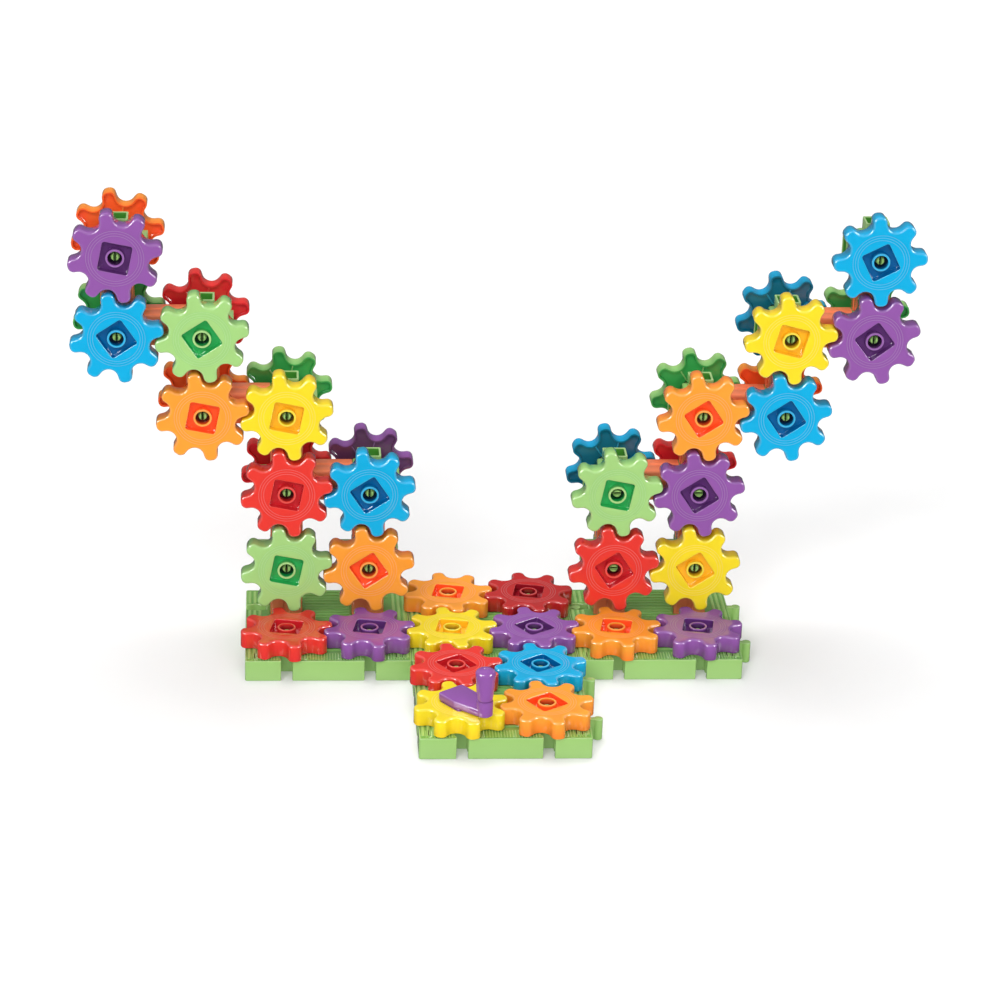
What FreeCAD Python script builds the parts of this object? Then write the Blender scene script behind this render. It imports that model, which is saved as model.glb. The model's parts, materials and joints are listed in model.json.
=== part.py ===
import FreeCAD, Part
import math
import os

from FreeCAD import Placement, Rotation, Vector

# Crank gear toy: moulded plastic gears that snap onto the arms of a frame and turn one another.
# Millimetres, +Z up. The origin is the middle of the underside of the centre base plate, and
# the crank stands at the front, towards -Y.

# ---- grid of the toy ----
pitch = 50.8              # distance between neighbouring gear axes, along X, Y and Z
plate_height = 13.4       # underside to top of a base plate
gear_plate_gap = 0.6      # top of a base plate to the underside of a gear on its post
running_clearance = 0.3   # gap left around anything that turns or slides on

# ---- gear ----
gear_teeth = 8
tooth_addendum = 3.1      # tooth tip outside the circle of half the pitch
tooth_dedendum = 4.8      # valley inside that circle
gear_thickness = 10.6
gear_face_height = 25.2   # grid point to the front face of a gear
tooth_tip_width = 6.4     # across the tip
tooth_root_width = 9.8    # across the tooth where the valley starts
face_skin = 1.8           # thickness of the front face
valley_wall = 2.2         # wall between a valley and the hollow back
tooth_wall = 3.0          # wall between a tooth tip and the hollow back
socket_side = 17.6        # square socket in the front face, which takes the crank's plug
socket_depth = 4.7
socket_wall = 1.5
socket_web = 1.5          # floor of the socket
sleeve_diameter = 11.2    # hub sleeve that stands in the socket and runs on a peg
sleeve_drop = 0.2         # front end of the sleeve below the gear's face
round_sides = 8           # sides of the prisms that stand for the small round hubs and pegs

# ---- six-way connector, whose arm form also stands on the base plates ----
block_side = 20.4
arm_side = 14.6
arm_wall = 1.35
arm_reach = 8.4           # block's face to the open end of an arm
peg_diameter = 5.1
peg_drop = 3.0            # tip of a peg below the face of its gear

# ---- pillar ----
pillar_side = 20.0
pillar_clearance = 0.2    # around an arm inside a pillar

# ---- base plate ----
plate_wall = 2.0
plate_skin = 2.0
plate_rib = 2.0           # cross of ribs under the plate
plates_gap = 0.2          # total play left between neighbouring plates
well_clearance = 0.3      # around a pillar that stands in a plate's well
well_wall = 1.6
slot_width = 6.9          # between the lips, wider than a tab's neck and narrower than its bulb
slot_length = 12.7
tab_neck_width = 3.6
tab_bulb = 8.2
tab_reach = 6.0           # plate edge to the centre of a tab's bulb
tab_clearance = 0.4       # around a bulb in the chamber behind a slot's lips

# ---- crank ----
crank_radius = 21.5       # gear axis to handle axis
crank_lift = 0.3          # gear's face to the underside of the arm
crank_thickness = 4.6
crank_back = 10.2         # gear axis to the wide end of the arm
crank_wide_end = 18.6
crank_corner = 1.6        # cut off the two wide corners
crank_straight = 4.0      # gear axis to where the arm starts to narrow
crank_boss_diameter = 9.8
crank_boss_height = 9.7
plug_clearance = 0.2      # around the plug in a gear's socket
plug_bore_clearance = 0.6 # around a gear's sleeve in the plug
plug_end_gap = 0.5        # plug's end to the floor of the socket
handle_pin_diameter = 4.6
handle_pin_end_gap = 0.5  # above the pin in the handle's bore
handle_height = 20.0
handle_foot_diameter = 9.3
handle_head_diameter = 12.0
handle_dome = 1.6
crank_sides = 12          # sides of the crank's boss, bore and handle
handle_cap = 2.6          # plastic left above the handle's blind bore
handle_gap = 0.3          # boss to the underside of the handle

half_pitch = pitch / 2
gear_tip_radius = half_pitch + tooth_addendum
gear_root_radius = half_pitch - tooth_dedendum
gear_back_height = gear_face_height - gear_thickness
step_angle = 360 / gear_teeth
tooth_phase = step_angle / 4    # from the first axis to a tooth, so that equal gears mesh
half_block = block_side / 2
plate_side = 2 * pitch - plates_gap
post_z = plate_height + gear_plate_gap - gear_back_height    # grid point of a plate's post
chamber_side = tab_bulb + 2 * tab_clearance

# ---- where the pieces stand, in grid steps ----
plate_centres = {
    "base_plate_left": (-2, 0),
    "base_plate_centre": (0, 0),
    "base_plate_right": (2, 0),
    "base_plate_front": (0, -2),
}
flat_rows = {
    "a": (0.5, (-0.5, 0.5)),
    "b": (-0.5, (-2.5, -1.5, -0.5, 0.5, 1.5, 2.5)),
    "c": (-1.5, (-0.5, 0.5)),
    "d": (-2.5, (-0.5, 0.5)),
}
crank_place = "d3"
tower_row = 0.5
wing_sites = {            # level: distance of the inner and the outer column from the middle
    1: {"inner": 1.5, "outer": 2.5},
    2: {"inner": 1.5, "outer": 2.5},
    3: {"inner": 2.5, "outer": 3.5},
    4: {"inner": 3.5, "outer": 4.5},
    5: {"outer": 4.5},
}
wings = {"left": -1, "right": 1}
back_levels = {"left": (2, 3, 4, 5), "right": (2, 3, 4)}
lower_levels = (1, 2)
upper_levels = (3, 4, 5)
cross_levels = (2, 3, 4)
uprights = ((0, 1.5), (0, 2.5), (1, 1.5), (1, 2.5), (2, 2.5), (3, 3.5), (4, 4.5))

# Gears that were pushed on one tooth further round, which turns their square sockets by 45 degrees.
one_tooth_on = {
    "a3", "a4", "b1", "b2", "b3", "b5", "b6",
    "left_front_1_outer", "left_front_2_outer", "left_front_3_inner", "left_front_3_outer",
    "left_front_5_outer", "right_front_2_inner", "right_front_4_inner",
}
# Degrees by which a gear has taken up the play in its mesh, seen from its front.
leads = {
    "d3": 3.0,
    "right_front_3_outer": 1.0,
    "right_front_4_inner": -3.0,
    "right_front_4_outer": 4.5,
    "right_front_5_outer": -6.5,
}


def prism(points, bottom, height):
    """Straight prism over a closed outline in XY."""
    corners = [Vector(x, y, bottom) for x, y in points]
    face = Part.Face(Part.makePolygon(corners + corners[:1]))
    return face.extrude(Vector(0, 0, height))


def square(side, bottom, top, turn=0.0):
    """Square prism centred on Z, turned by some degrees."""
    box = Part.makeBox(side, side, top - bottom, Vector(-side / 2, -side / 2, bottom))
    box.rotate(Vector(0, 0, 0), Vector(0, 0, 1), turn)
    return box


def ring_of_points(diameter, sides):
    angles = [2 * math.pi * (i + 0.5) / sides for i in range(sides)]
    return [(diameter / 2 * math.cos(angle), diameter / 2 * math.sin(angle)) for angle in angles]


def rounded(diameter, bottom, top, sides=round_sides):
    """Regular prism that stands for a round bar; its corners lie on the diameter."""
    return prism(ring_of_points(diameter, sides), bottom, top - bottom)


def tapered(low_diameter, high_diameter, bottom, top, sides):
    """Round bar as above whose diameter changes evenly on the way up."""
    ends = ((low_diameter, bottom), (high_diameter, top))
    rings = [[Vector(x, y, z) for x, y in ring_of_points(diameter, sides)] for diameter, z in ends]
    return Part.makeLoft([Part.makePolygon(ring + ring[:1]) for ring in rings], True, True)


def polar(radius, degrees):
    angle = math.radians(degrees)
    return (radius * math.cos(angle), radius * math.sin(angle))


def half_angle(width, radius):
    """Degrees that half of a width spans at a radius."""
    return math.degrees(math.asin(width / 2 / radius))


def gear_outline(phase):
    """Teeth that narrow towards their tips: two valley corners and two tip corners for each."""
    tip = half_angle(tooth_tip_width, gear_tip_radius)
    valley = half_angle(tooth_root_width, gear_root_radius)
    points = []
    for tooth in range(gear_teeth):
        middle = phase + tooth * step_angle
        points.append(polar(gear_root_radius, middle - valley))
        points.append(polar(gear_tip_radius, middle - tip))
        points.append(polar(gear_tip_radius, middle + tip))
        points.append(polar(gear_root_radius, middle + valley))
    return points


def hollow_outline(phase):
    """Star that runs up into every tooth and back behind every valley."""
    points = []
    for tooth in range(gear_teeth):
        middle = phase + tooth * step_angle
        points.append(polar(gear_tip_radius - tooth_wall, middle))
        points.append(polar(gear_root_radius - valley_wall, middle + step_angle / 2))
    return points


def gear_phase(place, mirrored=False):
    """Degrees from a gear's own X to its first tooth."""
    phase = -tooth_phase if mirrored else tooth_phase
    if place in one_tooth_on:
        phase += step_angle
    return phase + leads.get(place, 0.0)


def gear(phase):
    """Gear on Z, measured from its grid point, with its front face up."""
    socket_turn = phase + step_angle / 2
    body = prism(gear_outline(phase), gear_back_height, gear_thickness)
    inner_top = gear_face_height - face_skin
    hollow = prism(hollow_outline(phase), gear_back_height, inner_top - gear_back_height)
    socket_floor = gear_face_height - socket_depth
    web_back = socket_floor - socket_web
    hollow = hollow.cut(square(socket_side + 2 * socket_wall, web_back, inner_top, socket_turn))
    socket = square(socket_side, socket_floor, gear_face_height, socket_turn)
    sleeve = rounded(sleeve_diameter, web_back, gear_face_height - sleeve_drop)
    bore = rounded(peg_diameter + 2 * running_clearance, web_back, gear_face_height)
    return body.cut([hollow, socket]).fuse(sleeve).cut(bore).removeSplitter()


def stub(end):
    """Square arm along +Z from the block's face."""
    return square(arm_side, half_block, end)


def gear_arm():
    """Arm that a gear turns on: a square stub that stops short of the gear's web, and a peg."""
    end = gear_face_height - socket_depth - socket_web - running_clearance
    return stub(end).fuse(rounded(peg_diameter, end, gear_face_height - peg_drop))


def tube_arm():
    """Open square tube that a pillar slides over."""
    end = half_block + arm_reach
    return stub(end).cut(square(arm_side - 2 * arm_wall, half_block, end))


def aimed(shape, direction):
    """Copy of a shape along +Z, aimed along another direction."""
    copy = shape.copy()
    copy.Placement = Placement(Vector(), Rotation(Vector(0, 0, 1), direction))
    return copy


def connector():
    """Six-way connector on its grid point: tube arms along X and Z, gear arms along Y."""
    tubes = [aimed(tube_arm(), Vector(x, 0, z)) for x, z in ((1, 0), (-1, 0), (0, 1), (0, -1))]
    gear_arms = [aimed(gear_arm(), Vector(0, y, 0)) for y in (-1, 1)]
    block = square(block_side, -half_block, half_block)
    return block.fuse(tubes + gear_arms).removeSplitter()


def pillar():
    """Square sleeve over the arms of two neighbouring connectors, standing on +Z."""
    bottom = half_block
    top = pitch - half_block
    sleeve = square(pillar_side, bottom, top)
    return sleeve.cut(square(arm_side + 2 * pillar_clearance, bottom, top))


def edge_slot():
    """Slot that opens at y = 0 and runs along +Y, with a chamber behind its lips for a bulb."""
    straight = Part.makeBox(slot_width, slot_length, plate_height, Vector(-slot_width / 2, 0, 0))
    chamber = square(chamber_side, 0, plate_height)
    return straight.fuse(chamber.translated(Vector(0, tab_reach, 0)))


def edge_tab():
    """Tab that stands out of the edge y = 0 along +Y: a neck and a round bulb."""
    neck = Part.makeBox(tab_neck_width, tab_reach + plate_wall, plate_height,
                        Vector(-tab_neck_width / 2, -plate_wall, 0))
    bulb = rounded(tab_bulb, 0, plate_height)
    return neck.fuse(bulb.translated(Vector(0, tab_reach, 0)))


def on_edge(shape, along, turn):
    """Shape moved along the front edge of a plate, which is then turned to one of its sides."""
    copy = shape.copy()
    copy.translate(Vector(along, -plate_side / 2, 0))
    copy.rotate(Vector(0, 0, 0), Vector(0, 0, 1), turn)
    return copy


def base_plate():
    """Hollow plate with four gear posts in wells, slots to the front and left, tabs to the
    right and back."""
    posts = (-half_pitch, half_pitch)
    body = square(plate_side, 0, plate_height)
    inside = plate_side - 2 * plate_wall
    hollow = square(inside, 0, plate_height - plate_skin)
    rib = Part.makeBox(plate_rib, inside, plate_height, Vector(-plate_rib / 2, -inside / 2, 0))
    cross_rib = Part.makeBox(inside, plate_rib, plate_height, Vector(-inside / 2, -plate_rib / 2, 0))
    pocket_width = chamber_side + 2 * plate_wall
    pocket = Part.makeBox(pocket_width, slot_length + plate_wall, plate_height,
                          Vector(-pocket_width / 2, 0, 0))
    tab = edge_tab()
    tab.rotate(Vector(0, 0, 0), Vector(0, 0, 1), 180)
    front, left, right, back = 0, -90, 90, 180
    hollow = hollow.cut([on_edge(pocket, along, side) for along in posts for side in (front, left)])
    well_side = pillar_side + 2 * well_clearance
    well_floor = post_z + half_block
    centres = [Vector(x, y, 0) for x in posts for y in posts]
    well = square(well_side, well_floor, plate_height)
    well_box = square(well_side + 2 * well_wall, well_floor - well_wall, plate_height)
    post = gear_arm()
    post.translate(Vector(0, 0, post_z))
    hollow = hollow.cut([rib, cross_rib] + [well_box.translated(centre) for centre in centres])
    body = body.cut([hollow] + [well.translated(centre) for centre in centres])
    body = body.cut([on_edge(edge_slot(), along, side) for along in posts for side in (front, left)])
    tabs = [on_edge(tab, along, side) for along in posts for side in (right, back)]
    return body.fuse(tabs + [post.translated(centre) for centre in centres]).removeSplitter()


def crank_arm():
    """Crank over a gear's grid point, reaching along +X: arm, square plug, boss and pin."""
    underside = gear_face_height + crank_lift
    half_wide = crank_wide_end / 2
    half_boss = crank_boss_diameter / 2
    outline = [
        (-crank_back, -half_wide + crank_corner),
        (-crank_back + crank_corner, -half_wide),
        (crank_straight, -half_wide),
        (crank_radius, -half_boss),
        (crank_radius, half_boss),
        (crank_straight, half_wide),
        (-crank_back + crank_corner, half_wide),
        (-crank_back, half_wide - crank_corner),
    ]
    boss_top = underside + crank_boss_height
    boss = rounded(crank_boss_diameter, underside, boss_top, crank_sides)
    pin_top = boss_top + handle_gap + handle_height - handle_cap - handle_pin_end_gap
    pin = rounded(handle_pin_diameter, boss_top, pin_top)
    boss_and_pin = boss.fuse(pin)
    boss_and_pin.translate(Vector(crank_radius, 0, 0))
    plug_end = gear_face_height - socket_depth + plug_end_gap
    plug = square(socket_side - 2 * plug_clearance, plug_end, underside)
    plug_bore = sleeve_diameter + 2 * plug_bore_clearance
    plug = plug.cut(rounded(plug_bore, plug_end, underside, crank_sides))
    arm = prism(outline, underside, crank_thickness)
    return arm.fuse([boss_and_pin, plug]).removeSplitter()


def crank_handle():
    """Tapered handle with a domed head, turning on the crank's pin."""
    bottom = gear_face_height + crank_lift + crank_boss_height + handle_gap
    shoulder = bottom + handle_height - handle_dome
    crown = handle_head_diameter - 2 * handle_dome
    taper = tapered(handle_foot_diameter, handle_head_diameter, bottom, shoulder, crank_sides)
    dome = tapered(handle_head_diameter, crown, shoulder, bottom + handle_height, crank_sides)
    bore = rounded(handle_pin_diameter + 2 * running_clearance, bottom,
                   bottom + handle_height - handle_cap)
    handle = taper.fuse(dome).cut(bore)
    handle.translate(Vector(crank_radius, 0, 0))
    return handle


def grid(x, y, z=0.0):
    """Position of a grid point; level 0 is that of the plates' posts."""
    return Vector(x * pitch, y * pitch, post_z + z * pitch)


def flat_gear(place, x, y):
    shape = gear(gear_phase(place))
    shape.translate(grid(x, y))
    return shape


def upright_gear(place, x, level, back):
    """Gear on the front or the back arm of a connector; both look alike from the front."""
    shape = gear(gear_phase(place, back))
    shape.rotate(Vector(0, 0, 0), Vector(1, 0, 0), 90)
    if back:
        shape.rotate(Vector(0, 0, 0), Vector(0, 0, 1), 180)
    shape.translate(grid(x, tower_row, level))
    return shape


def crank_piece(shape, x, y):
    """Crank piece turned with the socket of the crank's gear and put on its axis."""
    shape.rotate(Vector(0, 0, 0), Vector(0, 0, 1), gear_phase(crank_place) + step_angle / 2 - 90)
    shape.translate(grid(x, y))
    return shape


def standing(shape, places):
    """Copies of a shape at several grid points."""
    return Part.Compound([shape.translated(grid(*place)) for place in places])


def connector_places(side, levels):
    return [(wings[side] * column, tower_row, level)
            for level in levels for column in wing_sites[level].values()]


def upright_places(side, base):
    """Feet of the standing pillars of one wing: those on the base plates, or those above."""
    return [(wings[side] * column, tower_row, level)
            for level, column in uprights if (level == 0) == base]


def cross_places(side):
    """Inner ends of the pillars that lie between the two columns of a level."""
    return [(wings[side] * min(wing_sites[level].values()), tower_row, level)
            for level in cross_levels]


def build():
    """All pieces by name, in place."""
    pieces = {}
    plate = base_plate()
    joining = connector()
    sleeve = pillar()
    for name, (x, y) in plate_centres.items():
        pieces[name] = plate.translated(Vector(x * pitch, y * pitch, 0))
    for row, (y, columns) in flat_rows.items():
        for x in columns:
            place = f"{row}{round(x + 3.5)}"
            if place == crank_place:
                pieces["crank_gear"] = flat_gear(place, x, y)
                pieces["crank_arm"] = crank_piece(crank_arm(), x, y)
                pieces["crank_handle"] = crank_piece(crank_handle(), x, y)
            else:
                pieces[f"flat_gear_{place}"] = flat_gear(place, x, y)
    for side, sign in wings.items():
        for level, columns in wing_sites.items():
            for place, column in columns.items():
                x = sign * column
                front = f"{side}_front_{level}_{place}"
                pieces[f"{side}_front_gear_{level}_{place}"] = upright_gear(front, x, level, False)
                back = f"{side}_back_{level}_{place}"
                if level in back_levels[side]:
                    pieces[f"{side}_back_gear_{level}_{place}"] = upright_gear(back, x, level, True)
        pieces[f"{side}_lower_connectors"] = standing(joining, connector_places(side, lower_levels))
        pieces[f"{side}_upper_connectors"] = standing(joining, connector_places(side, upper_levels))
        pieces[f"{side}_base_pillars"] = standing(sleeve, upright_places(side, True))
        pieces[f"{side}_upright_pillars"] = standing(sleeve, upright_places(side, False))
        lying = aimed(sleeve, Vector(sign, 0, 0))
        pieces[f"{side}_cross_pillars"] = standing(lying, cross_places(side))
    return pieces


os.makedirs("parts", exist_ok=True)
for name, shape in build().items():
    shape.exportStep(f"parts/{name}.step")
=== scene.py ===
import json
import math

import bmesh
import bpy
import numpy as np
from mathutils import Matrix, Vector


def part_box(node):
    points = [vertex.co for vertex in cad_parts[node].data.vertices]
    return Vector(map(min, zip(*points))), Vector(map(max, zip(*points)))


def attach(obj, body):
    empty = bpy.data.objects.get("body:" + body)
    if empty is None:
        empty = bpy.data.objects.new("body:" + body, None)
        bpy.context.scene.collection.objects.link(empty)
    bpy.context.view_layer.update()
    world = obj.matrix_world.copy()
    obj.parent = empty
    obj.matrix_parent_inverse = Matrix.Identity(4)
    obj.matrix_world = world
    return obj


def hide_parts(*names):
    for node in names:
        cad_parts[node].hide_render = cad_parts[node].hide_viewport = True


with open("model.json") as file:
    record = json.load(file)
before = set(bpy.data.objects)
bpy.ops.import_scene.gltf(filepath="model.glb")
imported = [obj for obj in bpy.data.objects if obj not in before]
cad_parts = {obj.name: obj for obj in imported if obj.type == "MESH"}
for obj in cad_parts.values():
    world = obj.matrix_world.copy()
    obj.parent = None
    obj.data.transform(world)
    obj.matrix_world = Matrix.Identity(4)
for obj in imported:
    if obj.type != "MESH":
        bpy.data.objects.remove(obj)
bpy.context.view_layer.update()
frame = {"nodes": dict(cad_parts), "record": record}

# Crank gear toy: glossy moulded gears on two stepped towers of connectors and pillars.
# Shapes are worked out in millimetres, in a piece's own frame, and placed in metres.

MM = 0.001

# ---- sizes in millimetres: the grid ----
pitch = 50.8            # between neighbouring gear axes
grid_to_face = 25.2     # from a connector's centre to the front face of its gear

# ---- gears: depths are measured from the front face ----
gear_teeth = 8
tip_radius = 28.5
root_radius = 20.2
tip_rounding = 3.5      # radius of a tooth's two tip corners
tooth_half_width = 4.15  # at the middle of the tip corners
flank_slope = 0.08      # how fast a tooth widens towards its root
tooth_steps = 5         # facets round a tip corner and round half a valley
gear_thickness = 10.6
face_rounding = 1.5
face_steps = 5
shell_wall = 1.4        # wall that follows the teeth round the hollow back
socket_side = 17.6
socket_corner = 1.2
socket_depth = 4.7
back_well_radius = 10.8  # round the connector's arm
back_well_floor = 6.2
back_floor = 8.4
sleeve_radius = 5.65
sleeve_drop = 0.2
mouth_radius = 4.3      # wide end of the bore, round the peg's tip
mouth_depth = 5.6
bore_radius = 2.85
bead_radii = (17.1, 15.6, 14.1)  # fine raised rings on the face
bead_width = 0.6
bead_height = 0.05
bead_groove = 0.05      # beside a ring
back_rib = 0.8
rib_start = 11.2        # the ribs stay clear of the connector's arm
rib_bite = 0.3          # how far a rib runs into what it joins
edge = 0.3              # rounding where a wall meets a floor
seam_merge = 0.004      # points this close are one, where quarters meet
merge = 0.002           # and within any moulding
on_face = 0.01          # a node's point this close to the face lies on it,
on_corner = 0.02        # and this close to a socket's corner is one

# ---- connectors: ends are measured from the centre ----
block_side = 20.4
block_corner = 1.6
block_rounding = 1.0
arm_side = 14.6
arm_corner = 1.2
arm_wall = 1.35
arm_end = 18.6
arm_rim = 0.35          # rounding of an open arm's end
lining_corner = 0.6     # inside an open arm
stub_end = 18.7         # of the closed arm that carries a gear
stub_start = 1.0        # the two stubs of a connector don't share a face
stub_rounding = 0.6
peg_radius = 2.55
peg_tip = 22.2
peg_slit = 0.9
slit_depth = 1.4
overlap = 1.0           # how far an arm or peg starts inside what carries it

# ---- pillars ----
pillar_side = 20.0
pillar_corner = 1.6
pillar_rim = 0.3
pillar_bore = 15.0
groove_width = 4.4
groove_depth = 0.7
groove_corner = 0.2
same_point = 0.0004     # in metres, between a node's point and a pillar's corner

# ---- base plates ----
plate_height = 13.4
plate_side = 101.4
plate_corner = 1.2
plate_rim = 0.5         # rounding of the top edge
plate_foot = 0.3        # rounding of the bottom edge
plate_border = 1.0      # flat strip between the top edge and the field
plate_skin = 2.0
plate_wall = 2.0
cross_rib = 2.0         # thickness of the two ribs under a plate
post_level = -0.6       # height of the posts' grid points
well_side = 20.6
well_corner = 1.0
well_mouth = 1.2        # how much wider the well is at the plate's top
well_box = 3.2          # how much wider the box under the plate is than its well
box_floor = 1.6
slot_half = 3.45
slot_length = 12.7
slot_chamber = 4.6      # radius of the round chamber behind a slot's lips
slot_reach = 6.0        # from the edge to the middle of the chamber
slot_lip = 0.6
slot_corner = 1.0
pocket_margin = 2.2     # from a chamber to the wall of its pocket
tab_reach = 5.3         # from the edge to the middle of the tab's round end
tab_bulb = 2.8
tab_neck = 1.5
tab_root = 1.5          # how far a tab starts inside the plate

# ---- ridges on the plates ----
rib_height = 0.45
rib_taper = 0.45        # share of its width that a ridge loses at its top
ridge_spacing = 3.9     # over the field
ridge_width = 2.4
field_margin = 12.0     # from the plate's edge to the field's ridges
border_middle = 5.6     # from the edge to the middle of the ridges along it
border_spacing = 3.2    # along the left and right edges
border_width = 2.8
band_spacing = 1.7      # along the front edge
band_width = 1.2
band_length = 8.4
band_parts = ((-39.0, 17.0), (0.0, 40.0), (39.0, 17.0))  # middle and length, between the slots

# ---- crank: heights are measured from the gear's face ----
crank_radius = 21.5     # from the gear's axis to the handle's
crank_base = 0.3        # the arm's underside
crank_thickness = 4.6
crank_rounding = 0.8
crank_tail = 10.2       # from the axis to the broad end
crank_half_width = 9.3
crank_shoulder = 4.0    # where the arm starts to narrow
crank_corners = (1.8, 6.0, 0.6)  # radii at the tail, the shoulder and the narrow end
boss_radius = 4.9
boss_height = 9.7
pin_radius = 2.3
pin_spare = 4.0         # how much shorter the pin is than the handle
plug_play = 0.4         # how much narrower the plug is than its socket
plug_corner = 1.1
handle_gap = 0.3
handle_height = 20.0
handle_bore = 2.7
handle_foot = 4.65
handle_lip = 0.7        # rounding of the foot
handle_head = 6.0
head_height = 3.0
handle_steps = 6

# ---- finishes ----
# sRGB colours of each moulding: its own colour on its faces, the painted shade in its sockets and
# the painted shade in its hollow back
colours = {
    "green_plastic": ((0.61, 0.78, 0.45), (0.27, 0.56, 0.2), (0.26, 0.62, 0.3)),
    "coral_plastic": ((1.0, 0.55, 0.38), (0.85, 0.2, 0.12), (0.85, 0.2, 0.12)),
    "cyan_plastic": ((0.0, 0.68, 0.88), (0.0, 0.37, 0.62), (0.04, 0.38, 0.49)),
    "purple_plastic": ((0.57, 0.34, 0.65), (0.36, 0.18, 0.44), (0.38, 0.22, 0.38)),
    "light_green_plastic": ((0.65, 0.83, 0.5), (0.1, 0.68, 0.34), (0.16, 0.6, 0.29)),
    "orange_plastic": ((0.99, 0.63, 0.2), (0.99, 0.33, 0.15), (0.99, 0.33, 0.15)),
    "yellow_plastic": ((0.96, 0.86, 0.13), (0.98, 0.74, 0.14), (0.98, 0.74, 0.14)),
    "red_plastic": ((0.91, 0.22, 0.18), (0.8, 0.13, 0.17), (0.84, 0.14, 0.18)),
    "dark_red_plastic": ((0.74, 0.14, 0.14), (0.56, 0.07, 0.13), (0.56, 0.07, 0.13)),
}

# Depth of painted shade: 0 on a face, 1 for a socket's painted shade, 2 for near-black painted
# shade where no light reaches, -1 for the painted shade of a hollow back.
field_shade = 0.66      # painted shade on a plate's field,
ridge_shade = 0.45      # on the ridges over it
band_shade = 0.18       # and on the finer ones along the front
edge_highlight = [0.0, 0.6, 0.6, 0.0]  # painted highlight over the loops of a rounded edge

# Patterns in the plastic, as a scale per metre.
cloud_scale = 55.0      # faint cloudiness of the colour
peel_scale = 1400.0     # orange peel
wave_scale = 160.0      # slow waves in the surface
mark_scale = 420.0      # handling marks, drawn out and turned
mark_stretch = (1.0, 7.0, 3.0)
mark_turn = (0.4, 0.7, 0.3)

# Shares by which colours are made and mixed.
cloud_rich = 0.92
cloud_pale = 1.05
cloud_lift = 0.002
cloud_in_hollow = 0.06
# Shares for the painted shade: in a socket, in a hollow back, and near black where no light
# reaches.
socket_share = 0.92
back_share = 0.97
unlit_share = 0.1
# Share, gain and lift of the painted highlight along edges.
highlight_share = 0.55
highlight_gain = 0.7
highlight_lift = 0.24

peel_share = 0.35
wave_share = 0.65
bump_strength = 0.08
bump_height = 0.0006    # in metres
gloss = (0.1, 0.1)      # least roughness, and how much the marks add
smooth_angle = 38.0     # a sharper edge than this is shaded as an edge

# ---- table, light and camera ----
white = (1.0, 1.0, 1.0, 1.0)
table_reach = 6.0       # in metres
table_greys = (0.79, 0.81)
table_grain = 30.0
table_roughness = 0.8
table_glow = 0.11
room_front = 0.08       # brightness of the room before the toy
room_back = 0.15        # and behind it
room_change = (-0.5, 0.7)  # directions along Y between which it changes

# Name, direction, strength, width in degrees, whether it lights and whether it shines.
suns = (
    ("key_light", (-0.45, -0.75, 0.7), 0.9, 20, True, True),
    ("front_light", (0.1, -0.9, 0.5), 1.75, 60, True, False),
    ("top_light", (-0.1, 0.35, 1.0), 2.3, 50, True, False),
    ("left_shine", (-0.9, -0.5, 0.5), 4.6, 32, False, True),
    ("right_shine", (0.9, -0.5, 0.5), 4.2, 32, False, True),
)

camera_place = (-2.6785, -35.7873, 17.1483)  # in grid steps
camera_lift = 0.0246    # in metres, added to its height
camera_turns = (4.396, 23.626, -1.774)  # to the right, down and over, in degrees
sensor_width = 36.0
focal_length = 3.2405   # in sensor widths

record = frame["record"]
slot_of = {part["node"]: part["material_slot"] for part in record["subparts"]}
body_of = {node: body for body, nodes in record["behaviour"]["bodies"].items() for node in nodes}


# ---- outlines, as arrays of points ----
no_corner = -0.9999     # cosine between two sides that make one straight side


def arc(centre, radius, start, end, steps):
    """Points along an arc, both ends included, from one direction in degrees to another."""
    angles = np.radians(np.linspace(start, end, steps + 1))
    return np.column_stack((centre[0] + radius * np.cos(angles),
                            centre[1] + radius * np.sin(angles)))


def circle(radius):
    return arc((0, 0), radius, 0, 360, 48)[:-1]


def polygon(corners, rounding, steps=4):
    """Closed outline through corners, anticlockwise, each rounded by its own radius.

    A corner that lies on a straight side keeps its share of points, spread along the side.
    """
    corners = np.array(corners, float)
    radii = np.broadcast_to(rounding, len(corners))
    befores = np.roll(corners, 1, 0)
    afters = np.roll(corners, -1, 0)
    points = []
    for before, corner, after, radius in zip(befores, corners, afters, radii):
        towards = (before - corner) / np.linalg.norm(before - corner)
        away = (after - corner) / np.linalg.norm(after - corner)
        if towards @ away < no_corner:
            points.append(corner + np.linspace(-radius, radius, steps + 1)[:, None] * away)
            continue
        half = math.acos(np.clip(towards @ away, -1, 1)) / 2
        middle = (towards + away) / np.linalg.norm(towards + away)
        centre = corner + middle * radius / math.sin(half)
        turn = 90 - math.degrees(half)
        facing = math.degrees(math.atan2(-middle[1], -middle[0]))
        outside = -towards[0] * away[1] + towards[1] * away[0] > 0
        spread = turn if outside else -turn
        points.append(arc(centre, radius, facing - spread, facing + spread, steps))
    return np.vstack(points)


def square(side, rounding):
    half = side / 2
    return polygon([(-half, -half), (half, -half), (half, half), (-half, half)], rounding)


def strip(start, end, thickness, rounding):
    """Thin rectangle along X."""
    half = thickness / 2
    return polygon([(start, -half), (end, -half), (end, half), (start, half)], rounding, 1)


def turned(points, degrees):
    angle = math.radians(degrees)
    spin = np.array([[math.cos(angle), math.sin(angle)], [-math.sin(angle), math.cos(angle)]])
    return points @ spin


def inset(outline, distance):
    """Anticlockwise outline moved inwards, or outwards where the distance is below 0."""
    forward = np.roll(outline, -1, 0) - outline
    forward /= np.linalg.norm(forward, axis=1)[:, None]
    backward = np.roll(forward, 1, 0)
    inward = np.column_stack((-forward[:, 1] - backward[:, 1], forward[:, 0] + backward[:, 0]))
    inward /= (1 + np.sum(forward * backward, 1))[:, None]
    return outline + distance * inward


def level(outline, height):
    return np.column_stack((outline, np.full(len(outline), height)))


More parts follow.
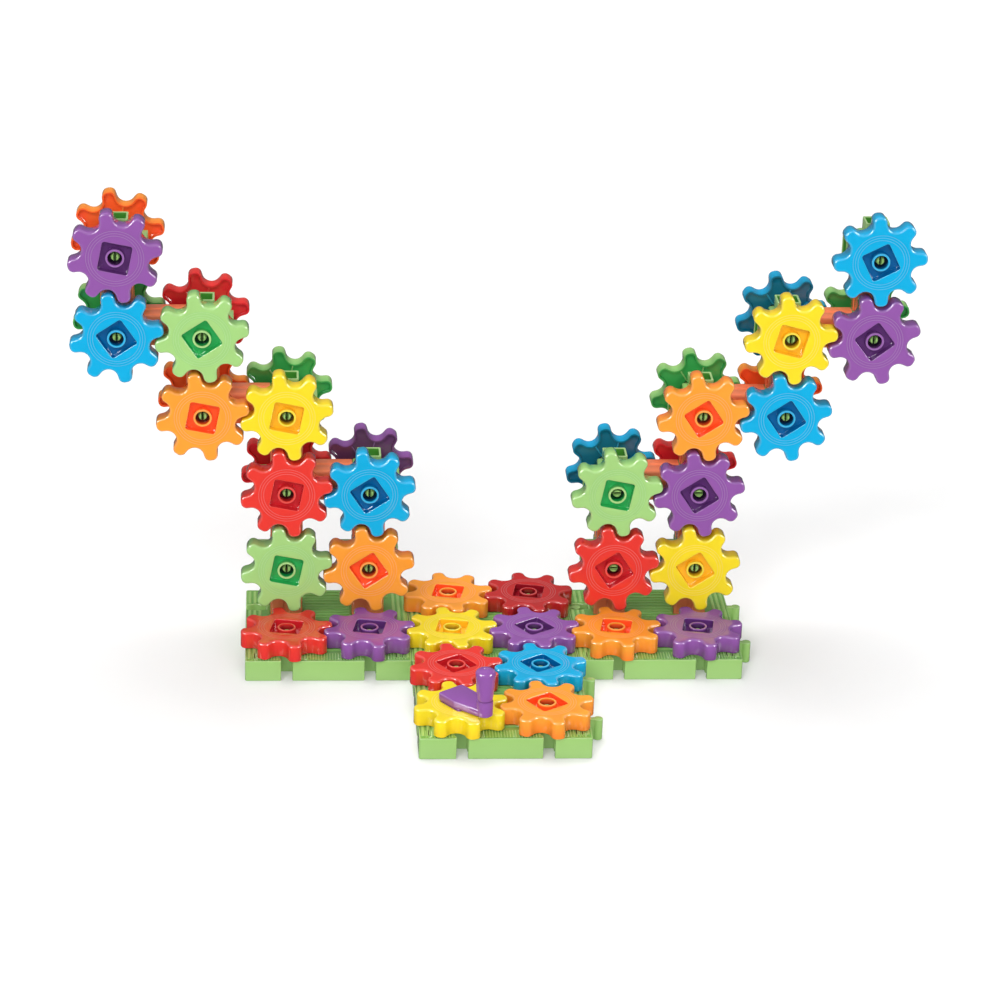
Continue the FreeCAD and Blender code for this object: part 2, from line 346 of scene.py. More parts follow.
def rounded_edge(outline, height, radius, up=1, steps=3):
    """Loops that round an edge: from the wall to the level of the end face."""
    loops = []
    for step in range(steps + 1):
        angle = math.pi / 2 * step / steps
        loops.append(level(inset(outline, radius * (1 - math.cos(angle))),
                           height - up * radius * (1 - math.sin(angle))))
    return loops


def wall(outline, bottom, top, rounding, steps=3):
    """Loops up a straight wall with both edges rounded."""
    lower = rounded_edge(outline, bottom, rounding, -1, steps)[::-1]
    return lower + rounded_edge(outline, top, rounding, 1, steps)


# ---- matrices ----
as_it_is = Matrix.Identity(4)
in_metres = Matrix.Scale(MM, 4)
in_millimetres = Matrix.Scale(1 / MM, 4)


def about(axis, degrees):
    return Matrix.Rotation(math.radians(degrees), 4, axis)


def at(x, y, z=0.0):
    return Matrix.Translation((x, y, z))


# ---- mouldings ----
class Moulding:
    """Closed shells that make one piece, collected as points and faces.

    Each point has a depth of painted shade and a painted highlight, up to 1 on an edge.
    """

    def __init__(self):
        self.points, self.faces, self.shade_depths, self.pales = [], [], [], []

    def add(self, points, faces, shade_depths=0.0, pales=0.0):
        start = len(self.points)
        self.points.extend(tuple(point) for point in points)
        self.faces.extend(tuple(start + index for index in face) for face in faces)
        self.shade_depths.extend(np.broadcast_to(shade_depths, len(points)).tolist())
        self.pales.extend(np.broadcast_to(pales, len(points)).tolist())

    def shell(self, loops, tube=False, caps=(0, -1), shade_depths=0.0, pales=0.0):
        """Skin over loops with equal numbers of points, with caps unless it is a tube."""
        count = len(loops[0])
        faces = []
        pairs = len(loops) if tube else len(loops) - 1
        for row in range(pairs):
            upper = (row + 1) % len(loops)
            for i in range(count):
                j = (i + 1) % count
                faces.append((row * count + i, row * count + j,
                              upper * count + j, upper * count + i))
        if not tube:
            faces += [tuple(row % len(loops) * count + i for i in range(count)) for row in caps]
        spread = [np.repeat(np.broadcast_to(marks, len(loops)), count)
                  for marks in (shade_depths, pales)]
        self.add(np.vstack(loops), faces, *spread)

    def put(self, other, place=as_it_is):
        """Copy of another moulding, moved by a matrix."""
        points = [place @ Vector(point) for point in other.points]
        self.add(points, other.faces, other.shade_depths, other.pales)

    def shade(self, depth):
        self.shade_depths = [depth] * len(self.points)
        return self

    def mesh(self, name, flat_areas=()):
        """Mesh with outward faces; a flat area has its loops and its depth of painted shade."""
        mesh = bpy.data.meshes.new(name)
        mesh.from_pydata(self.points, [], self.faces)
        for mark, values in (("painted_shade_depth", self.shade_depths), ("painted_highlight", self.pales)):
            mesh.attributes.new(mark, "FLOAT", "POINT").data.foreach_set("value", values)
        shape = bmesh.new()
        shape.from_mesh(mesh)
        layer = shape.verts.layers.float["painted_shade_depth"]
        for loops, depth in flat_areas:
            edges = []
            for loop in loops:
                corners = [shape.verts.new(point) for point in loop]
                for corner in corners:
                    corner[layer] = depth
                edges += [shape.edges.new((corners[i - 1], corners[i]))
                          for i in range(len(corners))]
            bmesh.ops.triangle_fill(shape, use_beauty=True, edges=edges)
        bmesh.ops.remove_doubles(shape, verts=shape.verts, dist=merge)
        bmesh.ops.recalc_face_normals(shape, faces=shape.faces)
        shape.to_mesh(mesh)
        shape.free()
        return mesh


def solid(outline, bottom, top, rounding):
    """Straight bar with both ends rounded."""
    moulding = Moulding()
    moulding.shell(wall(outline, bottom, top, rounding), pales=edge_highlight[::-1] + edge_highlight)
    return moulding


def revolved(profile):
    """Turned piece: radius and height from the bottom to the top of its skin."""
    moulding = Moulding()
    moulding.shell([level(circle(radius), height) for radius, height in profile])
    return moulding


# ---- nodes ----
class Wire:
    """Output of a node, for the inputs of others and for sums and products."""

    def __init__(self, tree, socket):
        self.tree = tree
        self.socket = socket

    def math(self, operation, other):
        return add_node(self.tree, "ShaderNodeMath", {0: self, 1: other}, operation=operation)

    def __add__(self, other):
        return self.math("ADD", other)

    def __sub__(self, other):
        return self.math("SUBTRACT", other)

    def __mul__(self, other):
        return self.math("MULTIPLY", other)

    def beside(self, name):
        return Wire(self.tree, self.socket.node.outputs[name])


def connect(value, socket):
    if isinstance(value, Wire):
        value.tree.links.new(value.socket, socket)
    else:
        socket.default_value = value


def add_node(tree, kind, sockets=None, output=0, **settings):
    """Node with its inputs by name or number, and its settings; gives one of its outputs."""
    node = tree.nodes.new(kind)
    for name, value in settings.items():
        setattr(node, name, value)
    for name, value in (sockets or {}).items():
        connect(value, node.inputs[name])
    return Wire(tree, node.outputs[output])


def node_tree(name, sizes):
    """Geometry tree that takes a piece, named sizes and a material, with wires from them."""
    tree = bpy.data.node_groups.new(name, "GeometryNodeTree")
    tree.interface.new_socket("Geometry", in_out="INPUT", socket_type="NodeSocketGeometry")
    for label, default in sizes.items():
        kind = "NodeSocketInt" if isinstance(default, int) else "NodeSocketFloat"
        socket = tree.interface.new_socket(label, in_out="INPUT", socket_type=kind)
        socket.default_value = default
    tree.interface.new_socket("Plastic", in_out="INPUT", socket_type="NodeSocketMaterial")
    tree.interface.new_socket("Geometry", in_out="OUTPUT", socket_type="NodeSocketGeometry")
    given = tree.nodes.new("NodeGroupInput").outputs
    return tree, {socket.name: Wire(tree, socket) for socket in given}


def end_tree(tree, geometry, plastic_input):
    sockets = {"Geometry": geometry, "Material": plastic_input}
    coloured = add_node(tree, "GeometryNodeSetMaterial", sockets)
    connect(coloured, tree.nodes.new("NodeGroupOutput").inputs[0])
    return tree


def around_axis_tree():
    """Copies of the piece turned evenly about Z and merged where they meet."""
    tree, given = node_tree("repeat_around_axis", {"Count": 4})
    count = given["Count"]
    points = add_node(tree, "GeometryNodePoints", {"Count": count})
    index = add_node(tree, "GeometryNodeInputIndex")
    step = add_node(tree, "ShaderNodeMath", {0: 2 * math.pi, 1: count}, operation="DIVIDE")
    euler = add_node(tree, "ShaderNodeCombineXYZ", {"Z": index * step})
    turn = add_node(tree, "FunctionNodeEulerToRotation", {"Euler": euler})
    copies = add_node(tree, "GeometryNodeInstanceOnPoints",
                      {"Points": points, "Instance": given["Geometry"], "Rotation": turn})
    real = add_node(tree, "GeometryNodeRealizeInstances", {"Geometry": copies})
    merged = add_node(tree, "GeometryNodeMergeByDistance",
                      {"Geometry": real, "Distance": seam_merge})
    return end_tree(tree, merged, given["Plastic"])


def rib_row_tree():
    """Straight ridges side by side, each narrower at its top than at its foot."""
    tree, given = node_tree("row_of_ribs", {"Length": 20.0, "Width": 1.6, "Height": 0.5,
                                            "Spacing": 3.9, "Count": 5})
    size = add_node(tree, "ShaderNodeCombineXYZ",
                    {"X": given["Length"], "Y": given["Width"], "Z": given["Height"]})
    bar = add_node(tree, "GeometryNodeMeshCube", {"Size": size})
    place = add_node(tree, "GeometryNodeInputPosition")
    height = add_node(tree, "ShaderNodeSeparateXYZ", {"Vector": place}, "Z")
    upper = height.math("GREATER_THAN", 0.0)
    offset = add_node(tree, "ShaderNodeCombineXYZ", {"Y": height.beside("Y") * -rib_taper})
    ridge = add_node(tree, "GeometryNodeSetPosition",
                     {"Geometry": bar, "Selection": upper, "Offset": offset})
    step = add_node(tree, "ShaderNodeCombineXYZ", {"Y": given["Spacing"]})
    line = add_node(tree, "GeometryNodeMeshLine", {"Count": given["Count"], "Offset": step})
    copies = add_node(tree, "GeometryNodeInstanceOnPoints", {"Points": line, "Instance": ridge})
    real = add_node(tree, "GeometryNodeRealizeInstances", {"Geometry": copies})
    return end_tree(tree, real, given["Plastic"])


around_axis = around_axis_tree()
row_of_ribs = rib_row_tree()


def grown(tree, mesh, **values):
    """Plain mesh that a tree makes of a mesh; the tree's inputs are given by name."""
    carrier = bpy.data.objects.new("carrier", mesh)
    bpy.context.scene.collection.objects.link(carrier)
    modifier = carrier.modifiers.new("tree", "NODES")
    modifier.node_group = tree
    for item in tree.interface.items_tree:
        if item.in_out == "INPUT" and item.name in values:
            modifier[item.identifier] = values[item.name]
    ready = carrier.evaluated_get(bpy.context.evaluated_depsgraph_get())
    result = bpy.data.meshes.new_from_object(ready)
    bpy.data.objects.remove(carrier)
    return result


def as_moulding(mesh):
    moulding = Moulding()
    marks = []
    for name in ("painted_shade_depth", "painted_highlight"):
        layer = mesh.attributes.get(name)
        marks.append([item.value for item in layer.data] if layer else 0.0)
    points = [vertex.co for vertex in mesh.vertices]
    moulding.add(points, [tuple(face.vertices) for face in mesh.polygons], *marks)
    return moulding


# ---- materials ----
def linear(colour):
    return tuple(c / 12.92 if c <= 0.04045 else ((c + 0.055) / 1.055) ** 2.4 for c in colour)


def mixed(colour, gain=1.0, lift=0.0):
    """Opaque colour made darker or paler than a linear one."""
    return tuple(min(1.0, c * gain + lift) for c in colour) + (1.0,)


class Finish:
    """A material while its nodes are put together."""

    def __init__(self, name):
        self.material = bpy.data.materials.new(name)
        self.material.use_nodes = True
        self.tree = self.material.node_tree

    def set(self, **sockets):
        for name, value in sockets.items():
            connect(value, self.tree.nodes["Principled BSDF"].inputs[name.replace("_", " ")])

    def place(self):
        return add_node(self.tree, "ShaderNodeTexCoord", output="Object")

    def mark(self, name):
        return add_node(self.tree, "ShaderNodeAttribute", output="Fac", attribute_name=name)

    def mix(self, share, first, second):
        """Colour between two others; a mix node's inputs 6 and 7 and output 2 are its colours."""
        sockets = {0: share, 6: first, 7: second}
        return add_node(self.tree, "ShaderNodeMix", sockets, 2, data_type="RGBA")

    def noise(self, place, scale, detail, roughness=0.5):
        sockets = {"Vector": place, "Scale": scale, "Detail": detail, "Roughness": roughness}
        return add_node(self.tree, "ShaderNodeTexNoise", sockets)


def plastic(name, face_colour, socket_shade_colour, back_shade_colour):
    """Glossy moulded plastic: faint clouds in its colour, orange peel, fine handling marks,
    painted shade and painted highlights.
    """
    finish = Finish(name)
    place = finish.place()
    drawn_out = {"Vector": place, "Scale": mark_stretch, "Rotation": mark_turn}
    stretched = add_node(finish.tree, "ShaderNodeMapping", drawn_out)
    clouds = finish.noise(place, cloud_scale, 3.0)
    peel = finish.noise(place, peel_scale, 1.0)
    waves = finish.noise(place, wave_scale, 1.0)
    marks = finish.noise(stretched, mark_scale, 4.0, 0.7)
    depth = finish.mark("painted_shade_depth")
    highlight = finish.mark("painted_highlight")
    face = linear(face_colour)
    hollow = linear(socket_shade_colour)
    tone = finish.mix(clouds, mixed(face, cloud_rich), mixed(face, cloud_pale, cloud_lift))
    # Painted shade: toward the socket colour, then the hollow back colour, then near black where
    # no light reaches.
    tone = finish.mix(depth * socket_share + clouds * cloud_in_hollow, tone, mixed(hollow))
    tone = finish.mix(depth * -back_share, tone, mixed(linear(back_shade_colour)))
    tone = finish.mix(depth - 1, tone, mixed(hollow, unlit_share))
    # Painted highlight on the edges.
    tone = finish.mix(highlight * highlight_share, tone, mixed(face, highlight_gain, highlight_lift))
    sockets = {"Height": peel * peel_share + waves * wave_share, "Strength": bump_strength,
               "Distance": bump_height}
    bump = add_node(finish.tree, "ShaderNodeBump", sockets, "Normal")
    finish.set(Base_Color=tone, Roughness=marks * gloss[1] + gloss[0], Normal=bump)
    finish.set(IOR=1.5, Specular_IOR_Level=0.5, Coat_Weight=0.5, Coat_Roughness=0.05)
    return finish.material


plastics = {name: plastic(name, *tones) for name, tones in colours.items()}


# ---- gears ----
def tooth_half():
    """Outline from the middle of a tip to the middle of a valley, with the tooth along +X."""
    half_step = 180 / gear_teeth
    slant = math.hypot(1, flank_slope)
    sine = math.sin(math.radians(half_step))
    cosine = math.cos(math.radians(half_step))
    tip_centre = tip_radius - tip_rounding
    normal = math.degrees(math.atan2(1, flank_slope))
    flank = root_radius * (sine + flank_slope * cosine)
    spare = flank - tooth_half_width - flank_slope * tip_centre
    valley_radius = spare / (slant - sine - flank_slope * cosine)
    reach = root_radius + valley_radius
    tip = arc((tip_centre, tooth_half_width - tip_rounding * slant), tip_rounding,
              0, normal, tooth_steps)
    valley = arc((reach * cosine, reach * sine), valley_radius,
                 180 + normal, 180 + half_step, tooth_steps)
    return np.vstack([[(tip_radius, 0.0)], tip, valley])


def gear_outline():
    """Whole outline from the middle of a valley on +X."""
    half = tooth_half()
    mirrored = (half * (1, -1))[::-1]
    tooth = np.vstack([mirrored[:-1], half[:-1]])
    step = 360 / gear_teeth
    return np.vstack([turned(tooth, (i + 0.5) * step) for i in range(gear_teeth)])


def square_radius(angles, side, corner):
    """Distance from the centre to the edge of a rounded square, for directions in radians."""
    half = side / 2
    folded = np.abs((angles + math.pi / 4) % (math.pi / 2) - math.pi / 4)
    straight = half / np.cos(folded)
    core = half - corner
    along = core * (np.cos(folded) + np.sin(folded))
    across = core * (np.cos(folded) - np.sin(folded))
    curved = along + np.sqrt(np.maximum(corner ** 2 - across ** 2, 0))
    return np.where(half * np.tan(folded) > core, curved, straight)


# Rows of a gear's skin. Each has its size, its depth below the face, its painted shade and its
# painted highlight; a painted shade or highlight that is left out is 0.
# Behind the teeth: distance inside their outline, with the back edge in painted shade.
back_edge_rows = (
    (0.4, gear_thickness, -0.9),
    (0.1, gear_thickness - 0.1, -0.5),
    (0, gear_thickness - 0.4, -0.5),
)
# Across a ring: share of its width from its middle, with painted shade beside the ring and a
# painted highlight on its top.
ring_rows = (
    (1, 0),
    (0.6, bead_groove, 0.25),
    (0.25, -bead_height, 0, 0.55),
    (-0.25, -bead_height, 0, 0.55),
    (-0.6, bead_groove, 0.25),
    (-1, 0),
)
# Down the socket: how much wider it is there, and its corner rounder; a painted highlight at its
# mouth and painted shade deepening inside.
socket_rows = (
    (1.3, 0.65, 0),
    (0.9, 0.45, 0.08, 0, 0.4),
    (0.6, 0.3, 0.25, 0.3),
    (0.45, 0.22, 0.5, 1),
    (0.2, 0.1, 1.4, 1),
    (0, 0, socket_depth - edge, 1),
    (-2 * edge, 0, socket_depth, 1),
)
# Up the sleeve, down its mouth and bore, and out to the back's floor: radius; painted shade in the
# socket, near-black painted shade in the mouth and bore, painted highlights round the sleeve's
# end.
sleeve_rows = (
    (sleeve_radius + edge, socket_depth, 1),
    (sleeve_radius, socket_depth - edge, 1),
    (sleeve_radius, sleeve_drop + 0.9, 0.7),
    (sleeve_radius, sleeve_drop + 0.5),
    (sleeve_radius - 0.15, sleeve_drop + 0.12, 0, 0.6),
    (sleeve_radius - 0.45, sleeve_drop, 0, 0.3),
    (mouth_radius + 0.35, sleeve_drop, 0, 0.3),
    (mouth_radius + 0.08, sleeve_drop + 0.12),
    (mouth_radius, sleeve_drop + 0.5, 0.3),
    (mouth_radius - 0.03, sleeve_drop + 1.0, 1),
    (mouth_radius - 0.15, mouth_depth, 2),
    (bore_radius + 0.2, mouth_depth + 0.15, 2),
    (bore_radius, mouth_depth + 0.5, 2),
    (bore_radius, back_well_floor - edge, 2),
    (bore_radius + edge, back_well_floor, -1),
    (back_well_radius - edge, back_well_floor, -1),
    (back_well_radius, back_well_floor + edge, -1),
    (back_well_radius, back_floor - 0.2, -1),
    (back_well_radius + 0.2, back_floor, -1),
)
# Up the inside of the shell: distance inside the teeth's outline, all in the hollow back's painted
# shade.
shell_rows = (
    (shell_wall + 0.4, back_floor, -1),
    (shell_wall + 0.1, back_floor + edge, -1),
    (shell_wall, gear_thickness - 0.4, -1),
    (shell_wall - 0.2, gear_thickness, -1),
)


def gear_quarter():
    """Quarter of a gear: its skin, a closed loop of rows, and its share of the back's ribs."""
    whole = gear_outline()
    columns = len(whole) // 4 + 1
    outline = whole[:columns]
    angles = np.arctan2(outline[:, 1], outline[:, 0])
    rings = []
    shades = []
    pales = []

    def row_of(outline, depth, shade=0, pale=0):
        rings.append(level(outline, -depth))
        shades.append(shade)
        pales.append(pale)

    def follow(distance, *marks):
        row_of(inset(whole, distance)[:columns], *marks)

    def polar(radius, *marks):
        radius = np.broadcast_to(radius, angles.shape)
        row_of(np.column_stack((radius * np.cos(angles), radius * np.sin(angles))), *marks)

    for distance, *marks in back_edge_rows:
        follow(distance, *marks)
    # The rounded face edge carries a painted highlight.
    for step in range(face_steps + 1):
        angle = math.pi / 2 * step / face_steps
        follow(face_rounding * (1 - math.cos(angle)), face_rounding * (1 - math.sin(angle)),
               0, 0.4 * math.sin(2 * angle))
    follow(face_rounding + 0.15, 0)
    for radius in bead_radii:
        for share, *marks in ring_rows:
            polar(radius + bead_width * share, *marks)
    for wider, rounder, *marks in socket_rows:
        polar(square_radius(angles, socket_side + wider, socket_corner + rounder), *marks)
    for radius, *marks in sleeve_rows:
        polar(radius, *marks)
    for distance, *marks in shell_rows:
        follow(distance, *marks)

    faces = []
    for row in range(len(rings)):
        upper = (row + 1) % len(rings)
        for i in range(columns - 1):
            faces.append((row * columns + i, row * columns + i + 1,
                          upper * columns + i + 1, upper * columns + i))
    quarter = Moulding()
    quarter.add(np.vstack(rings), faces, np.repeat(shades, columns), np.repeat(pales, columns))
    outline = strip(rib_start, root_radius - shell_wall + rib_bite, back_rib, 0.1)
    # The back's ribs are in the hollow back's painted shade.
    rib = solid(outline, rib_bite - gear_thickness, rib_bite - back_floor, 0.15).shade(-0.6)
    for direction in (0, 45):
        quarter.put(rib, about("Z", direction))
    return quarter


def place_of(centre, face, turn):
    """Matrix from a piece's own frame in millimetres, with its axis towards a face direction."""
    rotation = {
        "up": as_it_is,
        "front": about("X", 90),
        "back": about("Z", 180) @ about("X", 90),
    }[face]
    return Matrix.Translation(centre) @ rotation @ Matrix.Rotation(turn, 4, "Z") @ in_metres


tower_y = sum(corner.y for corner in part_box("left_base_pillars")) / 2


def gear_place(node):
    """Where a gear's face is, which way it looks, and how far its socket is turned."""
    low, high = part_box(node)
    centre = (low + high) / 2
    size = high - low
    if size.z < size.y:
        face = "up"
        centre.z = high.z
    elif centre.y < tower_y:
        face = "front"
        centre.y = low.y
    else:
        face = "back"
        centre.y = high.y
    upright = place_of(centre, face, 0.0).inverted()
    corner_radius = socket_side / math.sqrt(2)
    turn = 0.0
    for vertex in frame["nodes"][node].data.vertices:
        own = upright @ vertex.co
        off_corner = math.hypot(own.x, own.y) - corner_radius
        if abs(own.z) < on_face and abs(off_corner) < on_corner:
            turn = math.atan2(own.y, own.x) + math.pi / 4
    return centre, face, turn


def show(name, mesh, place, node):
    """Piece that stands for a node, with the node's own finish, on the node's own body."""
    mesh.transform(place)
    piece = bpy.data.objects.new(name, mesh)
    bpy.context.scene.collection.objects.link(piece)
    mesh.materials.clear()
    mesh.materials.append(plastics[slot_of[node]])
    mesh.shade_smooth()
    mesh.set_sharp_from_angle(angle=math.radians(smooth_angle))
    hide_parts(node)
    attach(piece, body_of[node])


gear_mesh = grown(around_axis, gear_quarter().mesh("gear_quarter"), Count=4)
gear_nodes = [node for node in frame["nodes"] if "gear" in node]
for node in gear_nodes:
    show(node.replace("gear", "wheel"), gear_mesh.copy(), place_of(*gear_place(node)), node)


# ---- connectors and pillars ----
def split_peg():
    """Round snap peg with a slit across its end, between the end of a stub and its own tip."""
    peg = Moulding()
    start = math.degrees(math.asin(peg_slit / 2 / peg_radius))
    upper_half = arc((0, 0), peg_radius, start, 180 - start, 16)
    for half in (upper_half, turned(upper_half, 180)):
        peg.shell([level(half, stub_end - overlap), level(half, peg_tip - 0.9),
                   level(inset(half, 0.2), peg_tip - 0.35), level(inset(half, 0.6), peg_tip)])
    # The slit's bottom is a web painted near black as shade.
    across = strip(-peg_radius + 0.2, peg_radius - 0.2, peg_slit + 0.2, 0.05)
    peg.put(solid(across, stub_end - overlap / 2, peg_tip - slit_depth, 0.02).shade(2.0))
    return peg


def tube_arm():
    """Open square tube along +X of the connector, with a rounded rim."""
    outside = square(arm_side, arm_corner)
    inside = square(arm_side - 2 * arm_wall, lining_corner)
    start = block_side / 2 - overlap
    loops = [level(outside, start)] + rounded_edge(outside, arm_end, arm_rim, steps=2)
    loops += [level(inset(inside, -edge), arm_end), level(inside, arm_end - edge),
              level(inside, arm_end - 0.8), level(inside, start)]
    arm = Moulding()
    # Painted highlight round the rim, painted shade down the inside.
    arm.shell(loops, tube=True, shade_depths=[0, 0, 0, 0, 0, 0, 1, 1.2],
              pales=[0, 0.3, 0.7, 0.7, 0.7, 0.5, 0, 0])
    sideways = Moulding()
    sideways.put(arm, about("Y", 90))
    return sideways


def stub(bottom, top):
    """Closed arm that ends under a gear."""
    return solid(square(arm_side, arm_corner), bottom, top, stub_rounding)


def connector(slit_turn):
    """Six-way connector, with its gear arms along its own Z."""
    half = block_side / 2
    whole = solid(square(block_side, block_corner), -half, half, block_rounding)
    whole.put(as_moulding(grown(around_axis, tube_arm().mesh("tube_arm"), Count=4)))
    peg = split_peg()
    for flip in (0, 180):
        whole.put(stub(stub_start, stub_end), about("Y", flip))
        whole.put(peg, about("Y", flip) @ about("Z", slit_turn))
    return whole


def pillar():
    """Square sleeve with a shallow groove down the middle of each side."""
    half = pillar_side / 2
    groove = groove_width / 2
    floor_end = groove - groove_depth
    floor_level = -half + groove_depth
    side = np.array([(-half, -half), (-groove, -half), (-floor_end, floor_level),
                     (floor_end, floor_level), (groove, -half)])
    bore = pillar_bore / 2
    lining = np.array([(x, -bore) for x in (-bore, -groove, -groove / 2, groove / 2, groove)])
    quarters = (0, 90, 180, 270)
    outside = polygon(np.vstack([turned(side, quarter) for quarter in quarters]),
                      ([pillar_corner] + [groove_corner] * 4) * 4, 3)
    inside = polygon(np.vstack([turned(lining, quarter) for quarter in quarters]),
                     groove_corner, 3)
    bottom = block_side / 2
    top = pitch - block_side / 2
    loops = wall(outside, bottom, top, pillar_rim, 2) + [level(inside, top), level(inside, bottom)]
    sleeve = Moulding()
    # Painted highlight along both rounded ends.
    sleeve.shell(loops, tube=True, pales=[0, 0.6, 0, 0, 0.6, 0, 0, 0])
    return sleeve


# Front gears whose pegs have level slits; the towers' other slits stand upright.
level_slits = ("right_front_gear_1_inner", "right_front_gear_2_inner", "right_front_gear_2_outer")
top_of_lower_group = 2  # level of a tower's gears, counted from the ground
connector_shapes = {turn: connector(turn) for turn in (0, 90)}
pillar_shape = pillar()


def connectors(side):
    """Connectors of a tower, one behind each of its front gears, in a lower and an upper group."""
    groups = {"lower": Moulding(), "upper": Moulding()}
    for node in gear_nodes:
        if node.startswith(side + "_front"):
            centre = gear_place(node)[0]
            centre.y += grid_to_face * MM
            height = int(node.split("_")[3])
            group = groups["lower" if height <= top_of_lower_group else "upper"]
            group.put(connector_shapes[0 if node in level_slits else 90],
                      in_millimetres @ place_of(centre, "front", 0.0))
    for name, group in groups.items():
        node = f"{side}_{name}_connectors"
        show(f"{side}_{name}_arms", group.mesh(node), in_metres, node)


def pillars(node, lying):
    """Pillars of a node, at the grid points where the node's own solids have a pillar's corner."""
    step = pitch * MM
    direction = about("Y", 90) if lying else as_it_is
    along = Vector((1, 0, 0)) if lying else Vector((0, 0, 1))
    half_length = (pitch - block_side) / 2 * MM
    to_corner = np.array(along) * half_length + (1 - np.array(along)) * pillar_side / 2 * MM
    corners = np.array([vertex.co for vertex in frame["nodes"][node].data.vertices])
    group = Moulding()
    for column in range(-9, 10):
        for row in range(5):
            start = Vector(((column / 2) * step, tower_y, post_level * MM + row * step))
            corner = np.array(start + along * step / 2) + to_corner
            if np.min(np.linalg.norm(corners - corner, axis=1)) < same_point:
                group.put(pillar_shape, Matrix.Translation(start / MM) @ direction)
    show(node.replace("pillars", "sleeves"), group.mesh(node), in_metres, node)


for side in ("left", "right"):
    connectors(side)
for side in ("left", "right"):
    for name, lying in (("base", False), ("upright", False), ("cross", True)):
        pillars(f"{side}_{name}_pillars", lying)


# ---- base plates ----
def slotted_edge():
    """Front edge of a plate from left to right, with its two slots."""
    half = plate_side / 2
    lip = math.degrees(math.acos(slot_half / slot_chamber))
    corner = -half + plate_corner
    points = [arc((corner, corner), plate_corner, 180, 270, 4)]
    lip_x = slot_half + slot_lip
    end = (slot_half - slot_corner, slot_length - slot_corner)
    for middle in (-pitch / 2, pitch / 2):
        slot = [
            arc((-lip_x, slot_lip), slot_lip, -90, 0, 3),
            arc((0, slot_reach), slot_chamber, 180 + lip, 180 - lip, 8),
            arc((-end[0], end[1]), slot_corner, 180, 90, 3),
            arc(end, slot_corner, 90, 0, 3),
            arc((0, slot_reach), slot_chamber, lip, -lip, 8),
            arc((lip_x, slot_lip), slot_lip, 180, 270, 3),
        ]
        points.append(np.vstack(slot) + (middle, -half))
    return np.vstack(points)


def plate_outline():
    """Outline with slots along the front and the left."""
    front = slotted_edge()
    corner = plate_side / 2 - plate_corner
    right = arc((corner, -corner), plate_corner, 270, 360, 4)
    back = arc((corner, corner), plate_corner, 0, 90, 4)
    return np.vstack([front, right, back, turned(front, -90)])


def hollow_outline():
    """Inner face of the skirt, which steps back round the pockets of the slots."""
    inner = plate_side / 2 - plate_wall
    pocket = slot_chamber + pocket_margin
    deep = plate_side / 2 - slot_length - plate_wall
    front = []
    for middle in (-pitch / 2, pitch / 2):
        front += [(middle - pocket, -inner), (middle - pocket, -deep),
                  (middle + pocket, -deep), (middle + pocket, -inner)]
    front = np.array(front)
    others = [(inner, -inner), (inner, inner), (-inner, inner)]
    return polygon(np.vstack([[(-inner, -inner)], front, others, turned(front, -90)]), 0.5, 2)


def edge_tab():
    """Tab along +X from a plate's edge: a neck and a round bulb."""
    opening = math.degrees(math.asin(tab_neck / tab_bulb))
    outline = np.vstack([
        [(-tab_root, -tab_neck)],
        arc((tab_reach, 0), tab_bulb, -180 + opening, 180 - opening, 24),
        [(-tab_root, tab_neck)],
    ])
    return solid(outline, 0, plate_height, plate_rim)


def rib_rows(rows):
    """Ridges by their row's middle, their length, count, spacing, width, turn and painted shade.
    """
    ridges = Moulding()
    for x, y, length, count, spacing, width, turn, shade in rows:
        mesh = grown(row_of_ribs, bpy.data.meshes.new("seed"), Length=length, Width=width,
                     Height=2 * rib_height, Spacing=spacing, Count=count)
        place = at(x, y, plate_height) @ about("Z", turn) @ at(0, -spacing * (count - 1) / 2)
        ridges.put(as_moulding(mesh).shade(shade), place)
    return ridges


def plate_ribs():
    """Ridges over the field between the wells and finer ones along the edges, off the slots."""
    border = plate_side / 2 - border_middle
    across_field = plate_side - 2 * field_margin
    between_wells = pitch - well_side - 2
    rows = []
    for middle, width in band_parts:
        rows.append((middle, -border, band_length, round(width / band_spacing), band_spacing,
                     band_width, 90, band_shade))
        rows.append((-border, middle, width, 3, border_spacing, border_width, 90, 0.0))
    rows.append((border, 0, plate_side - 8, 3, border_spacing, border_width, 90, 0.0))
    for steps, length, count in ((11, across_field, 3), (0, across_field, 7),
                                 (-6.5, between_wells, 6), (6.5, between_wells, 6)):
        rows.append((0, steps * ridge_spacing, length, count, ridge_spacing, ridge_width,
                     0, ridge_shade))
    return rib_rows(rows)


def plate_skirt():
    """Loops up the outside of a plate, from its bottom edge to the border of its field."""
    outline = plate_outline()
    lower = rounded_edge(outline, 0, plate_foot, up=-1, steps=1)[::-1]
    upper = rounded_edge(outline, plate_height, plate_rim)
    return lower + upper + [level(inset(outline, plate_border), plate_height)]


